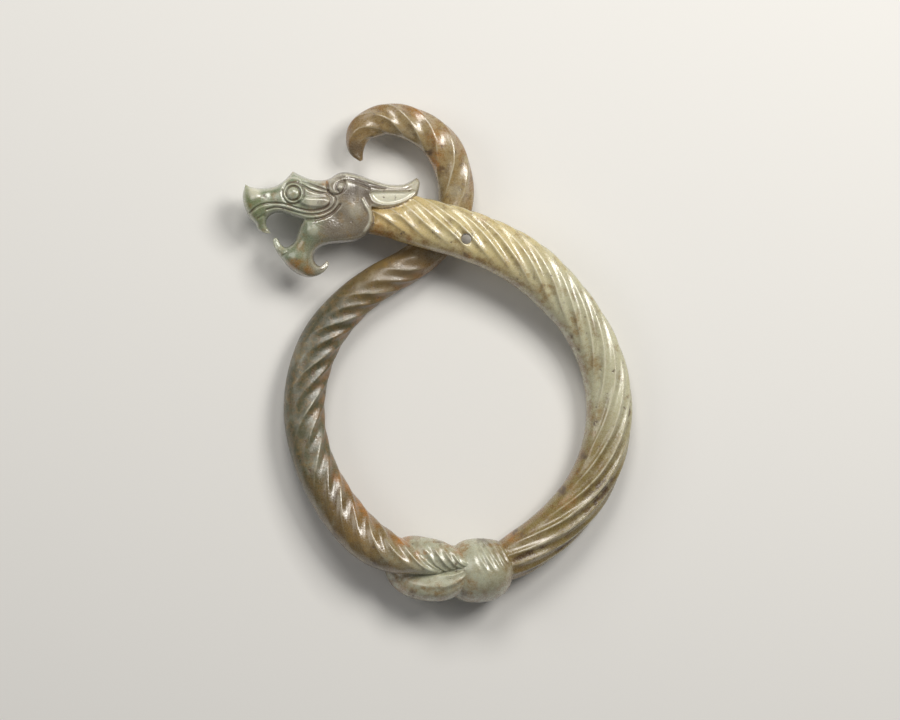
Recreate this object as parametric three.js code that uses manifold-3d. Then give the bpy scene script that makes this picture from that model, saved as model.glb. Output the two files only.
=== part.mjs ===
// Jade dragon pendant, carved in one piece: a twisted rope of jade makes an open loop, ties one knot
// at the bottom, crosses behind its own neck at the top and ends in a hooked tail. The other end
// is a dragon's head with open jaws. The pendant lies on its back: +Y is up the hanging pendant,
// +Z is its front, and the origin is under the middle of it.
// Millimetres. Free forms are shares of the loop's radius, the rope's radius or the head's length.
import * as THREE from 'three';
import { mergeVertices } from 'three/addons/utils/BufferGeometryUtils.js';
import Module from 'manifold-3d';

const wasm = await Module();
wasm.setup();

// Driving sizes
const loopRadius = 23.86; // from the loop's centre to the middle of the rope
const ropeRadius = 3.55;
const headLength = 20.5; // from the beak to the back of the jowl
const headHalfDepth = 3.7; // at the jowl, where the head is thickest
const fluteDepth = 0.34;
const crossingBond = 0.8; // how deep the neck and the rope behind it run into each other
const holeDiameter = 1.5; // for the cord it hangs on
const restTrim = 0.16; // how much is ground off the knot's back, where the pendant lies on it
const headSides = 14;
const headStep = 1.6; // length of a limb between two rows of facets
const lumpRings = 10;

// Half the rope's depth at the crossing, in front and behind
const neckDepth = 0.88;
const underDepth = 0.7;

// Everything is carved out of one flat slab of this thickness, which the knot fills
const slab = 2 * ropeRadius * (neckDepth + underDepth) - crossingBond;
const headMiddle = 0.56 * slab;

const { lerp, degToRad, smoothstep } = THREE.MathUtils;
const zAxis = new THREE.Vector3(0, 0, 1);

function onLoop(angle, reach, ...rest) {
  const a = degToRad(angle);
  return [reach * Math.cos(a), reach * Math.sin(a), ...rest];
}

// One row for each station of a rope: x, y (shares of the loop's radius), half width,
// half depth (shares of the rope's radius), rise (0 lies on the slab's back, 1 on its front),
// cut (how deep the flutes are) and lay (the flutes' angle to the rope, in degrees)
const neckRope = {
  sides: 24,
  step: 1.75, // length between two rows of facets
  fluteCount: () => 12,
  innerEdge: 0.12, // the flutes are worn away towards the inside of the loop
  rows: [
    [-0.649, 1.300, 0.74, 0.62, 0.62, 0, 20],
    [-0.570, 1.290, 0.86, 0.72, 0.68, 0, 20],
    [-0.464, 1.283, 0.95, 0.80, 0.78, 0.1, 20],
    [-0.344, 1.262, 1.05, 0.86, 0.90, 0.9, 22],
    [-0.185, 1.220, 1.08, neckDepth, 0.98, 1, 22],
    [0.000, 1.170, 1.08, neckDepth, 1.00, 1, 22],
    [0.194, 1.099, 1.08, 0.90, 0.96, 1, 22],
    [0.369, 1.013, 1.09, 0.92, 0.88, 1, 22],
    [0.523, 0.905, 1.08, 0.93, 0.74, 1, 21],
    [0.654, 0.779, 1.04, 0.93, 0.56, 1, 20],
    onLoop(38, 1.004, 0.99, 0.93, 0.38, 1, 19),
    onLoop(24, 1, 0.99, 0.93, 0.16, 1, 18),
    onLoop(10, 1, 1.00, 0.93, -0.02, 1, 17),
    onLoop(-4, 1, 1.00, 0.93, -0.05, 1, 16),
    onLoop(-18, 1, 1.00, 0.93, 0.02, 1, 15),
    onLoop(-32, 1, 1.00, 0.93, 0.12, 1, 14),
    onLoop(-46, 1, 1.00, 0.93, 0.24, 1, 14),
    onLoop(-58, 1.011, 0.99, 0.93, 0.34, 1, 14),
    onLoop(-67, 1.030, 0.97, 0.95, 0.42, 0.8, 14),
    [0.290, -1.012, 0.88, 0.92, 0.46, 0.3, 14],
    [0.190, -1.048, 0.74, 0.86, 0.50, 0, 14],
    [0.100, -1.060, 0.60, 0.80, 0.50, 0, 14],
  ],
};

const crossingRow = 15;
const tailRope = {
  sides: 18,
  step: 1.75,
  fluteCount: (row) => (row < crossingRow ? 9 : 6),
  innerEdge: 1,
  rows: [
    [0.040, -1.050, 0.40, 0.50, 0.60, 0, 26],
    [-0.060, -1.055, 0.52, 0.60, 0.85, 0.4, 26],
    [-0.150, -1.036, 0.64, 0.66, 0.97, 0.8, 26],
    [-0.255, -1.008, 0.76, 0.74, 1.00, 1, 26],
    [-0.377, -0.970, 0.87, 0.80, 0.97, 1, 26],
    [-0.526, -0.908, 0.92, 0.86, 0.78, 1, 27],
    onLoop(-130, 1.040, 0.95, 0.88, 0.56, 1, 28),
    onLoop(-144, 1.020, 0.93, 0.88, 0.36, 1, 30),
    onLoop(-160, 1.015, 0.89, 0.87, 0.22, 1, 32),
    onLoop(-176, 1.016, 0.88, 0.86, 0.12, 1, 34),
    onLoop(168, 1.016, 0.88, 0.85, 0.04, 1, 36),
    onLoop(152, 1.016, 0.88, 0.84, -0.03, 1, 36),
    onLoop(136, 1.008, 0.87, 0.80, -0.05, 1, 36),
    onLoop(122, 1.003, 0.83, 0.76, 0.00, 1, 35),
    [-0.347, 0.948, 0.78, 0.72, 0.00, 0.7, 30],
    [-0.219, 1.040, 0.78, underDepth, 0.00, 0, 22],
    [-0.106, 1.159, 0.78, underDepth, 0.00, 0.3, 18],
    [-0.040, 1.265, 0.78, 0.72, 0.03, 1, 16],
    [-0.015, 1.385, 0.79, 0.74, 0.08, 1, 16],
    [-0.018, 1.510, 0.80, 0.76, 0.14, 1, 18],
    [-0.050, 1.640, 0.82, 0.76, 0.20, 1, 22],
    [-0.113, 1.755, 0.82, 0.76, 0.26, 1, 26],
    [-0.202, 1.841, 0.79, 0.74, 0.30, 1, 30],
    [-0.313, 1.906, 0.79, 0.72, 0.34, 1, 32],
    [-0.445, 1.940, 0.76, 0.70, 0.37, 1, 32],
    [-0.562, 1.915, 0.69, 0.64, 0.39, 0.9, 30],
    [-0.640, 1.855, 0.60, 0.54, 0.40, 0.7, 26],
    [-0.674, 1.780, 0.47, 0.42, 0.41, 0.4, 20],
    [-0.670, 1.712, 0.33, 0.27, 0.42, 0, 20],
    [-0.640, 1.652, 0.07, 0.06, 0.43, 0, 20],
  ],
};

// The knot's lobe: out of the knot at the top, round behind the strand at its left, and back in
const turnRope = {
  sides: 14,
  step: 1.2,
  fluteCount: () => 7,
  innerEdge: 1,
  rows: [
    [0.060, -1.010, 0.46, 0.56, 0.60, 0, 30],
    [-0.040, -0.990, 0.62, 0.66, 0.72, 0.4, 30],
    [-0.130, -0.965, 0.69, 0.70, 0.76, 0.7, 30],
    [-0.220, -0.942, 0.69, 0.72, 0.62, 0.7, 28],
    [-0.305, -0.935, 0.69, 0.72, 0.36, 0.6, 24],
    [-0.372, -0.966, 0.68, 0.72, 0.12, 0.4, 20],
    [-0.392, -1.030, 0.67, 0.72, 0.06, 0.3, 18],
    [-0.364, -1.097, 0.68, 0.72, 0.16, 0.4, 18],
    [-0.291, -1.146, 0.69, 0.74, 0.40, 0.6, 20],
    [-0.180, -1.163, 0.70, 0.74, 0.66, 0.7, 20],
    [-0.070, -1.150, 0.70, 0.74, 0.76, 0.7, 20],
    [0.020, -1.105, 0.64, 0.68, 0.74, 0.5, 18],
    [0.090, -1.050, 0.46, 0.56, 0.66, 0, 18],
  ],
};

// The knot's wrap around the other strand: a short barrel with leaning grooves across its top
const wrap = {
  x: 0.178,
  y: -1.060,
  heading: -172, // degrees, along the strand inside it
  halfLength: 1.30, // shares of the rope's radius
  radius: 1.44,
  roundness: 2.3, // 2 is an ellipse, more is squarer
  ridges: 7,
  grooveCut: 0.9,
  lean: 0.16,
  sides: 24,
};
// Stone left whole between the knot's strands and inside its lobe: x, y (shares of the loop's
// radius), radius (a share of the rope's radius) and height (a share of the slab)
const knotCores = [
  [-0.152, -1.046, 0.9, 0.5],
  [-0.320, -1.040, 0.80, 0.45],
];

// The head lies left of the neck's start. One row for each station of a limb: x, y and
// half width (shares of the head's length), half depth (a share of the head's half depth)
const headAt = [-0.566, 1.298];
const limbs = {
  snout: [
    [-0.558, 0.115, 0.146, 0.80],
    [-0.681, 0.109, 0.114, 0.64],
    [-0.788, 0.096, 0.104, 0.56],
    [-0.865, 0.088, 0.096, 0.50],
  ],
  hook: [
    [-0.895, 0.150, 0.070, 0.48],
    [-0.900, 0.085, 0.092, 0.54],
    [-0.886, 0.015, 0.086, 0.50],
    [-0.866, -0.052, 0.058, 0.42],
    [-0.838, -0.111, 0.035, 0.30],
    [-0.790, -0.148, 0.006, 0.12],
  ],
  nose: [
    [-0.850, 0.115, 0.077, 0.50],
    [-0.930, 0.170, 0.058, 0.40],
    [-0.973, 0.223, 0.007, 0.14],
  ],
  skull: [
    [-0.635, 0.113, 0.131, 0.70],
    [-0.542, 0.119, 0.158, 0.82],
    [-0.419, 0.112, 0.152, 0.92],
    [-0.288, 0.085, 0.169, 0.98],
    [-0.173, 0.054, 0.154, 0.94],
  ],
  brow: [
    [-0.588, 0.185, 0.108, 0.72],
    [-0.596, 0.262, 0.046, 0.48],
    [-0.612, 0.323, 0.006, 0.18],
  ],
  jaw: [
    [-0.212, -0.062, 0.146, 0.90],
    [-0.327, -0.092, 0.146, 0.90],
    [-0.438, -0.135, 0.130, 0.80],
    [-0.508, -0.210, 0.098, 0.72],
    [-0.546, -0.292, 0.090, 0.66],
    [-0.560, -0.369, 0.092, 0.58],
  ],
  chin: [
    [-0.751, -0.191, 0.008, 0.16],
    [-0.732, -0.240, 0.031, 0.32],
    [-0.698, -0.291, 0.048, 0.44],
    [-0.645, -0.340, 0.061, 0.52],
    [-0.569, -0.385, 0.077, 0.56],
    [-0.496, -0.416, 0.076, 0.52],
    [-0.435, -0.434, 0.051, 0.42],
    [-0.388, -0.427, 0.034, 0.34],
    [-0.354, -0.395, 0.024, 0.26],
    [-0.345, -0.360, 0.007, 0.14],
  ],
  ear: [
    [-0.305, 0.228, 0.066, 0.80],
    [-0.246, 0.222, 0.090, 0.90],
    [-0.158, 0.228, 0.090, 0.95],
    [-0.050, 0.181, 0.096, 1.05],
    [0.065, 0.142, 0.102, 1.10],
    [0.181, 0.138, 0.090, 1.05],
    [0.273, 0.165, 0.078, 0.90],
    [0.363, 0.196, 0.056, 0.50],
  ],
  earTip: [
    [0.250, 0.177, 0.062, 0.80],
    [0.304, 0.227, 0.031, 0.56],
    [0.345, 0.271, 0.006, 0.24],
  ],
};
const lumps = {
  jowl: [-0.212, -0.008, 0.227, 1.00],
  curl: [-0.269, 0.208, 0.081, 1.05],
  eye: [-0.605, 0.156, 0.059, 0.92],
};

// The hole for the cord, through the neck just beyond the crossing
const holeAt = [0.055, 1.129];

// A rope's table gives its size to the flutes' middle depth
const meanDip = 0.45;

// Smooth value between the rows of a table, where t counts rows
function sample(rows, t) {
  const i = Math.min(Math.floor(t), rows.length - 2);
  const f = t - i;
  const before = rows[Math.max(i - 1, 0)];
  const after = rows[Math.min(i + 2, rows.length - 1)];
  return rows[i].map((from, column) => {
    const to = rows[i + 1][column];
    const slopeIn = (to - before[column]) / 2;
    const slopeOut = (after[column] - from) / 2;
    const bend = slopeIn + slopeOut - 2 * (to - from);
    return from + f * (slopeIn + f * (to - from - slopeIn - bend + f * bend));
  });
}

// Values of t that are about one step of length apart
function stations(rows, unit, step) {
  const ts = [];
  for (let i = 0; i < rows.length - 1; i++) {
    const length = unit * Math.hypot(rows[i + 1][0] - rows[i][0], rows[i + 1][1] - rows[i][1]);
    const count = Math.max(1, Math.round(length / step));
    for (let k = 0; k < count; k++) {
      ts.push(i + k / count);
    }
  }
  ts.push(rows.length - 1);
  return ts;
}

function solidOf(geometry) {
  geometry.deleteAttribute('normal');
  geometry.deleteAttribute('uv');
  const merged = mergeVertices(geometry);
  return new wasm.Manifold(new wasm.Mesh({
    numProp: 3,
    vertProperties: new Float32Array(merged.attributes.position.array),
    triVerts: new Uint32Array(merged.index.array),
  }));
}

// Closed skin over rings of points, all with the same number of points
function skin(rings) {
  const sides = rings[0].length;
  const middle = (ring) => ring.reduce((sum, p) => sum.add(p), new THREE.Vector3()).divideScalar(sides);
  const points = [...rings.flat(), middle(rings[0]), middle(rings.at(-1))];
  const head = points.length - 2;
  const foot = points.length - 1;
  const last = (rings.length - 1) * sides;
  const faces = [];
  for (let j = 0; j < sides; j++) {
    const next = (j + 1) % sides;
    for (let a = 0; a < last; a += sides) {
      faces.push(a + j, a + next, a + sides + next);
      faces.push(a + j, a + sides + next, a + sides + j);
    }
    faces.push(head, next, j);
    faces.push(foot, last + j, last + next);
  }
  const geometry = new THREE.BufferGeometry().setFromPoints(points);
  geometry.setIndex(faces);
  return solidOf(geometry);
}

// Section across a path: side points out of the loop and up points to the front
function ringAcross(centre, ahead, sides, pointAt) {
  const side = new THREE.Vector3().crossVectors(zAxis, ahead).normalize();
  const up = new THREE.Vector3().crossVectors(ahead, side).normalize();
  return Array.from({ length: sides }, (_, j) => {
    const [across, high, along = 0] = pointAt((2 * Math.PI * j) / sides);
    const point = centre.clone().addScaledVector(side, across).addScaledVector(up, high);
    return point.addScaledVector(ahead, along);
  });
}

function directions(centres) {
  return centres.map((_, i) => {
    const from = centres[Math.max(i - 1, 0)];
    const to = centres[Math.min(i + 1, centres.length - 1)];
    return to.clone().sub(from).normalize();
  });
}

// Rope with hollow flutes between sharp ridges. The ridges wind round it as they go along
function rope({ rows, sides, step, fluteCount, innerEdge }) {
  const ts = stations(rows, loopRadius, step);
  const values = ts.map((t) => sample(rows, t));
  const centres = values.map(([x, y, , depth, rise]) => {
    const half = depth * ropeRadius;
    return new THREE.Vector3(x * loopRadius, y * loopRadius, half + rise * (slab - 2 * half));
  });
  const aheads = directions(centres);
  let turn = 0;
  const rings = centres.map((centre, i) => {
    const [, , width, depth, , cut, lay] = values[i];
    const flutes = fluteCount(ts[i]);
    if (i > 0) {
      const meanRadius = (ropeRadius * (width + depth)) / 2;
      turn += (Math.tan(degToRad(lay)) * centre.distanceTo(centres[i - 1])) / meanRadius;
    }
    return ringAcross(centre, aheads[i], sides, (around) => {
      const angle = around + turn;
      const keep = lerp(1, innerEdge, smoothstep(-Math.cos(angle), 0.35, 0.8));
      const dip = Math.abs(Math.sin((around * flutes) / 2)) - meanDip;
      const half = (share) => share * ropeRadius - cut * keep * fluteDepth * dip;
      return [half(width) * Math.cos(angle), half(depth) * Math.sin(angle)];
    });
  });
  return skin(rings);
}

function limb(rows) {
  const ts = stations(rows, headLength, headStep);
  const values = ts.map((t) => sample(rows, t));
  const centres = values.map(([x, y]) => new THREE.Vector3(
    headAt[0] * loopRadius + x * headLength,
    headAt[1] * loopRadius + y * headLength,
    headMiddle,
  ));
  const aheads = directions(centres);
  return skin(centres.map((centre, i) => {
    const [, , width, depth] = values[i];
    return ringAcross(centre, aheads[i], headSides, (angle) => [
      width * headLength * Math.cos(angle),
      depth * headHalfDepth * Math.sin(angle),
    ]);
  }));
}

function lump([x, y, radius, depth]) {
  const geometry = new THREE.SphereGeometry(1, headSides, lumpRings);
  geometry.rotateX(Math.PI / 2);
  geometry.scale(radius * headLength, radius * headLength, depth * headHalfDepth);
  geometry.translate(
    headAt[0] * loopRadius + x * headLength,
    headAt[1] * loopRadius + y * headLength,
    headMiddle,
  );
  return solidOf(geometry);
}

function wrapBarrel() {
  const ahead = new THREE.Vector3(1, 0, 0).applyAxisAngle(zAxis, degToRad(wrap.heading));
  const halfDepth = (slab + restTrim) / 2;
  const middle = new THREE.Vector3(wrap.x * loopRadius, wrap.y * loopRadius, halfDepth - restTrim);
  const rings = [];
  for (let i = 1; i < 2 * wrap.ridges; i++) {
    const along = i / wrap.ridges - 1;
    const swell = (1 - Math.abs(along) ** wrap.roundness) ** (1 / wrap.roundness);
    rings.push(ringAcross(middle, ahead, wrap.sides, (angle) => {
      const inside = smoothstep(-Math.cos(angle), -0.2, 0.5);
      const dip = wrap.grooveCut * fluteDepth * inside * (i % 2);
      const across = swell * (wrap.radius * ropeRadius - dip) * Math.cos(angle);
      const high = swell * (halfDepth - dip) * Math.sin(angle);
      const leaning = wrap.lean * across * (1 - Math.abs(along));
      return [across, high, along * wrap.halfLength * ropeRadius - leaning];
    }));
  }
  return skin(rings);
}

function coreOfKnot([x, y, radius, height]) {
  const geometry = new THREE.SphereGeometry(radius * ropeRadius, headSides, lumpRings);
  geometry.translate(x * loopRadius, y * loopRadius, height * slab);
  return solidOf(geometry);
}

function cordHole() {
  const geometry = new THREE.CylinderGeometry(holeDiameter / 2, holeDiameter / 2, 2 * slab, 16);
  geometry.rotateX(Math.PI / 2);
  geometry.translate(holeAt[0] * loopRadius, holeAt[1] * loopRadius, slab / 2);
  return solidOf(geometry);
}

// The pendant rests on three small flats at its back, where this trims it
function belowBack() {
  const reach = 4 * loopRadius;
  const geometry = new THREE.BoxGeometry(2 * reach, 2 * reach, slab);
  geometry.translate(0, 0, -slab / 2);
  return solidOf(geometry);
}

function carvedDragon() {
  const pieces = [
    ...Object.values(limbs).map(limb),
    ...Object.values(lumps).map(lump),
    rope(neckRope),
    rope(tailRope),
    rope(turnRope),
    wrapBarrel(),
    ...knotCores.map(coreOfKnot),
  ];
  const whole = pieces.reduce((sum, piece) => sum.add(piece));
  const mesh = whole.subtract(cordHole()).subtract(belowBack()).getMesh();
  const geometry = new THREE.BufferGeometry();
  geometry.setAttribute('position', new THREE.BufferAttribute(mesh.vertProperties, 3));
  geometry.setIndex(new THREE.BufferAttribute(mesh.triVerts, 1));
  geometry.computeBoundingBox();
  const { min, max } = geometry.boundingBox;
  geometry.translate(-(min.x + max.x) / 2, -(min.y + max.y) / 2, 0);
  geometry.computeVertexNormals();
  return geometry;
}

const jade = new THREE.MeshStandardMaterial({ color: 0xa9a37c, roughness: 0.28, metalness: 0 });
const dragon = new THREE.Mesh(carvedDragon(), jade);
dragon.name = 'jade_dragon';

const pendant = new THREE.Group();
pendant.add(dragon);

export default pendant;
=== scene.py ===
import math

import bmesh
import bpy
import numpy as np
from mathutils import Matrix, Vector, noise
from mathutils.geometry import delaunay_2d_cdt
from mathutils.kdtree import KDTree


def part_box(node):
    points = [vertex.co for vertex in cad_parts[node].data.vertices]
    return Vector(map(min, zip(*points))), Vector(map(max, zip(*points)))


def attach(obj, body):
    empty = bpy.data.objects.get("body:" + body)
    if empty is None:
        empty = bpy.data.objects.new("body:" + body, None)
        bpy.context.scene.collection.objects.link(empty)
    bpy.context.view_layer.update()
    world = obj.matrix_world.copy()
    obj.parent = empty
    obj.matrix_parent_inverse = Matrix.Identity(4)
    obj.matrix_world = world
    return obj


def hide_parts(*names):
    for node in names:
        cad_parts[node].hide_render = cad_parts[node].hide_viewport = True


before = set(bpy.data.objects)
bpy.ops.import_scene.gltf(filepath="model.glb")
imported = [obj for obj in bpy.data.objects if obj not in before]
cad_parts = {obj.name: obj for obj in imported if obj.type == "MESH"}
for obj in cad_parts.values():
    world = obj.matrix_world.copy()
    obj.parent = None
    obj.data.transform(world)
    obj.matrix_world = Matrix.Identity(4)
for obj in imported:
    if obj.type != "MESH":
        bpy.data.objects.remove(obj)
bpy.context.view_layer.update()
cadLow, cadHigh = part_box("jade_dragon")

# Shapes are made in millimetres round the loop's centre, then moved into the frame in metres
mm = 0.001
tall = (cadHigh.y - cadLow.y) / mm

stone = {
    "loopRadius": 0.30025 * tall,  # from the loop's centre to the middle of the rope
    "ropeRadius": 0.04467 * tall,
    "headLength": 0.258 * tall,
    "neckDepth": 0.88,  # half the depth at the crossing, in front and behind, in rope radii
    "underDepth": 0.70,
    "crossingBond": 0.8,  # mm, how deep the two strands run into each other
    "middle": (-0.139, 0.397),  # the middle of the whole pendant, in loop radii
}
loopRadius = stone["loopRadius"]
ropeRadius = stone["ropeRadius"]
slab = 2 * ropeRadius * (stone["neckDepth"] + stone["underDepth"]) - stone["crossingBond"]


# Small helpers for node trees

def feed(tree, value, socket):
    if isinstance(value, bpy.types.NodeSocket):
        tree.links.new(value, socket)
    else:
        socket.default_value = value


def addNode(tree, kind, inputs=None, **settings):
    node = tree.nodes.new(kind)
    for name, value in settings.items():
        setattr(node, name, value)
    for name, value in (inputs or {}).items():
        feed(tree, value, node.inputs[name])
    column = len(tree.nodes)
    node.location = (190 * (column // 6), -210 * (column % 6))
    return node


def calc(tree, operation, *values):
    return addNode(tree, "ShaderNodeMath", dict(enumerate(values)), operation=operation).outputs[0]


def times(tree, result, *factors):
    for factor in factors:
        result = calc(tree, "MULTIPLY", result, factor)
    return result


def vectorCalc(tree, operation, *values):
    node = addNode(tree, "ShaderNodeVectorMath", dict(enumerate(values)), operation=operation)
    return node.outputs[0]


def scaled(tree, vector, factor):
    node = addNode(tree, "ShaderNodeVectorMath", {0: vector, "Scale": factor}, operation="SCALE")
    return node.outputs[0]


def ramped(tree, value, start, end, low=0.0, high=1.0):
    inputs = {"Value": value, 1: start, 2: end, 3: low, 4: high}
    node = addNode(tree, "ShaderNodeMapRange", inputs, interpolation_type="SMOOTHSTEP")
    return node.outputs[0]


def openGroup(name, kind, inputs, outputs):
    tree = bpy.data.node_groups.new(name, kind)
    for label, socketType, value in inputs:
        socket = tree.interface.new_socket(label, in_out="INPUT", socket_type=socketType)
        if value is not None:
            socket.default_value = value
    for label, socketType in outputs:
        tree.interface.new_socket(label, in_out="OUTPUT", socket_type=socketType)
    return tree, tree.nodes.new("NodeGroupInput"), tree.nodes.new("NodeGroupOutput")


# Ropes: a closed tube along a chain of points, with flutes that wind round it

twist = {
    "wanderScale": 0.16,  # how quickly the flutes drift along the rope, per mm
    "rim": (0.10, 0.60, 1.0, 0.0),
    "fluteStep": 7.31,  # how far apart two flutes lie in the noise
    "ownScale": 0.09,  # how quickly one flute changes along the rope, per mm
    "uneven": (0.2, 0.8, 0.7, 1.25),
    "crest": (0.0, 0.13, 1.0, 0.0),
    "middleDepth": 0.45,
}


def buildRopeTree():
    tree, start, end = openGroup("twistedRope", "GeometryNodeTree", [
        ("Geometry", "NodeSocketGeometry", None),
        ("Columns", "NodeSocketInt", 96),
        ("Flute Depth", "NodeSocketFloat", 0.34),
        ("Middle Depth", "NodeSocketFloat", twist["middleDepth"]),
        ("Ridge Width", "NodeSocketFloat", 0.06),
        ("Worn Depth", "NodeSocketFloat", 1.0),
        ("Wear From", "NodeSocketFloat", 0.35),
        ("Wear To", "NodeSocketFloat", 0.8),
        ("Worn Side", "NodeSocketFloat", 1.0),
        ("Rim Wear", "NodeSocketFloat", 0.0),
        ("Unevenness", "NodeSocketFloat", 0.2),
        ("Seed", "NodeSocketInt", 1),
        ("Finish", "NodeSocketMaterial", None),
    ], [("Geometry", "NodeSocketGeometry")])
    given = start.outputs

    def attribute(name):
        return addNode(tree, "GeometryNodeInputNamedAttribute", {"Name": name}).outputs["Attribute"]

    chain = addNode(tree, "GeometryNodeMeshToCurve", {"Mesh": given["Geometry"]})
    path = addNode(tree, "GeometryNodeCaptureAttribute", {"Geometry": chain.outputs[0]})
    path.capture_items.new("VECTOR", "Centre")
    path.capture_items.new("VECTOR", "Ahead")
    feed(tree, addNode(tree, "GeometryNodeInputPosition").outputs[0], path.inputs["Centre"])
    feed(tree, addNode(tree, "GeometryNodeInputTangent").outputs[0], path.inputs["Ahead"])

    circle = addNode(tree, "GeometryNodeCurvePrimitiveCircle", {"Resolution": given["Columns"]})
    ring = addNode(tree, "GeometryNodeCaptureAttribute", {"Geometry": circle.outputs[0]})
    ring.capture_items.new("FLOAT", "Around")
    share = calc(tree, "DIVIDE", addNode(tree, "GeometryNodeInputIndex").outputs[0], given["Columns"])
    feed(tree, times(tree, share, math.tau), ring.inputs["Around"])
    tube = addNode(tree, "GeometryNodeCurveToMesh", {
        "Curve": path.outputs["Geometry"],
        "Profile Curve": ring.outputs["Geometry"],
        "Fill Caps": True,
    })

    centre = path.outputs["Centre"]
    ahead = path.outputs["Ahead"]
    around = ring.outputs["Around"]
    outward = vectorCalc(tree, "CROSS_PRODUCT", (0.0, 0.0, 1.0), ahead)
    side = vectorCalc(tree, "NORMALIZE", outward)
    front = vectorCalc(tree, "NORMALIZE", vectorCalc(tree, "CROSS_PRODUCT", ahead, side))

    # The stone wanders a little, because the flutes were ground by hand
    wander = addNode(tree, "ShaderNodeTexNoise", {
        "Vector": centre, "W": given["Seed"], "Scale": twist["wanderScale"], "Detail": 1.0,
    }, noise_dimensions="4D").outputs[0]
    drift = times(tree, calc(tree, "SUBTRACT", wander, 0.5), given["Unevenness"])
    flutes = attribute("flutes")
    angle = calc(tree, "ADD", calc(tree, "ADD", around, attribute("turn")), drift)
    across = calc(tree, "COSINE", angle)
    high = calc(tree, "SINE", angle)
    inward = times(tree, across, -1.0)
    wornShare = calc(tree, "SUBTRACT", times(tree, inward, given["Worn Side"]),
                     attribute("wearShift"))
    worn = ramped(tree, wornShare, given["Wear From"], given["Wear To"])
    lost = times(tree, worn, calc(tree, "SUBTRACT", 1.0, given["Worn Depth"]))
    rim = ramped(tree, calc(tree, "ABSOLUTE", high), *twist["rim"])
    rimLost = times(tree, rim, given["Rim Wear"])
    keep = times(tree, calc(tree, "SUBTRACT", 1.0, lost), calc(tree, "SUBTRACT", 1.0, rimLost))

    phase = times(tree, around, flutes)
    flute = calc(tree, "FLOOR", calc(tree, "DIVIDE", phase, math.tau))
    place = addNode(tree, "ShaderNodeCombineXYZ", {"X": times(tree, flute, twist["fluteStep"])})
    own = addNode(tree, "ShaderNodeTexNoise", {
        "Vector": vectorCalc(tree, "ADD", place.outputs[0], scaled(tree, centre, twist["ownScale"])),
        "W": given["Seed"], "Scale": 1.0, "Detail": 1.0,
    }, noise_dimensions="4D").outputs[0]
    uneven = ramped(tree, own, *twist["uneven"])
    wave = calc(tree, "SINE", times(tree, phase, 0.5))
    softened = calc(tree, "SQRT", calc(tree, "ADD", calc(tree, "POWER", wave, 2.0),
                                       calc(tree, "POWER", given["Ridge Width"], 2.0)))
    dip = times(tree, calc(tree, "SUBTRACT", softened, given["Ridge Width"]), uneven)
    cut = times(tree, attribute("cut"), keep)
    bite = times(tree, cut, given["Flute Depth"], calc(tree, "SUBTRACT", dip, given["Middle Depth"]))
    width = calc(tree, "SUBTRACT", attribute("width"), bite)
    depth = calc(tree, "SUBTRACT", attribute("depth"), bite)
    sideways = scaled(tree, side, times(tree, width, across))
    upwards = scaled(tree, front, times(tree, depth, high))
    place = vectorCalc(tree, "ADD", vectorCalc(tree, "ADD", centre, sideways), upwards)
    shaped = addNode(tree, "GeometryNodeSetPosition", {"Geometry": tube.outputs[0], "Position": place})
    named = shaped.outputs[0]
    fluted = times(tree, dip, cut)
    # the flutes' ridges; the finish paints a highlight along them
    crest = times(tree, cut, ramped(tree, dip, *twist["crest"]))
    for name, value in (("inner", inward), ("flute", fluted), ("crest", crest), ("streak", own)):
        store = addNode(tree, "GeometryNodeStoreNamedAttribute", {
            "Geometry": named, "Name": name, "Value": value,
        }, data_type="FLOAT", domain="POINT")
        named = store.outputs[0]
    real = addNode(tree, "GeometryNodeRealizeInstances", {"Geometry": named})
    done = addNode(tree, "GeometryNodeSetMaterial", {
        "Geometry": real.outputs[0], "Material": given["Finish"],
    })
    tree.links.new(done.outputs[0], end.inputs[0])
    return tree


def smoothRows(rows, ts):
    # Catmull-Rom between the rows, where t counts rows
    rows = np.array(rows, float)
    ts = np.asarray(ts, float)
    i = np.minimum(ts.astype(int), len(rows) - 2)
    f = (ts - i)[:, None]
    before, origin = rows[np.maximum(i - 1, 0)], rows[i]
    target, after = rows[i + 1], rows[np.minimum(i + 2, len(rows) - 1)]
    slopeIn, slopeOut = (target - before) / 2, (after - origin) / 2
    bend = slopeIn + slopeOut - 2 * (target - origin)
    return origin + f * (slopeIn + f * (target - origin - slopeIn - bend + f * bend))


def stations(rows, step):
    ts = []
    for i in range(len(rows) - 1):
        length = loopRadius * math.dist(rows[i][:2], rows[i + 1][:2])
        count = max(1, round(length / step))
        ts += [i + k / count for k in range(count)]
    return np.array(ts + [len(rows) - 1.0])


def onLoop(angle, reach, *rest):
    a = math.radians(angle)
    return [reach * math.cos(a), reach * math.sin(a), *rest]


def plainMesh(name, points, faces):
    mesh = bpy.data.meshes.new(name)
    mesh.from_pydata([tuple(p) for p in points], [], faces)
    mesh.update()
    return mesh


def newObject(name, mesh):
    shown = bpy.data.objects.new(name, mesh)
    bpy.context.scene.collection.objects.link(shown)
    return shown


def evaluatedMesh(shown):
    graph = bpy.context.evaluated_depsgraph_get()
    return bpy.data.meshes.new_from_object(shown.evaluated_get(graph))


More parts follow.
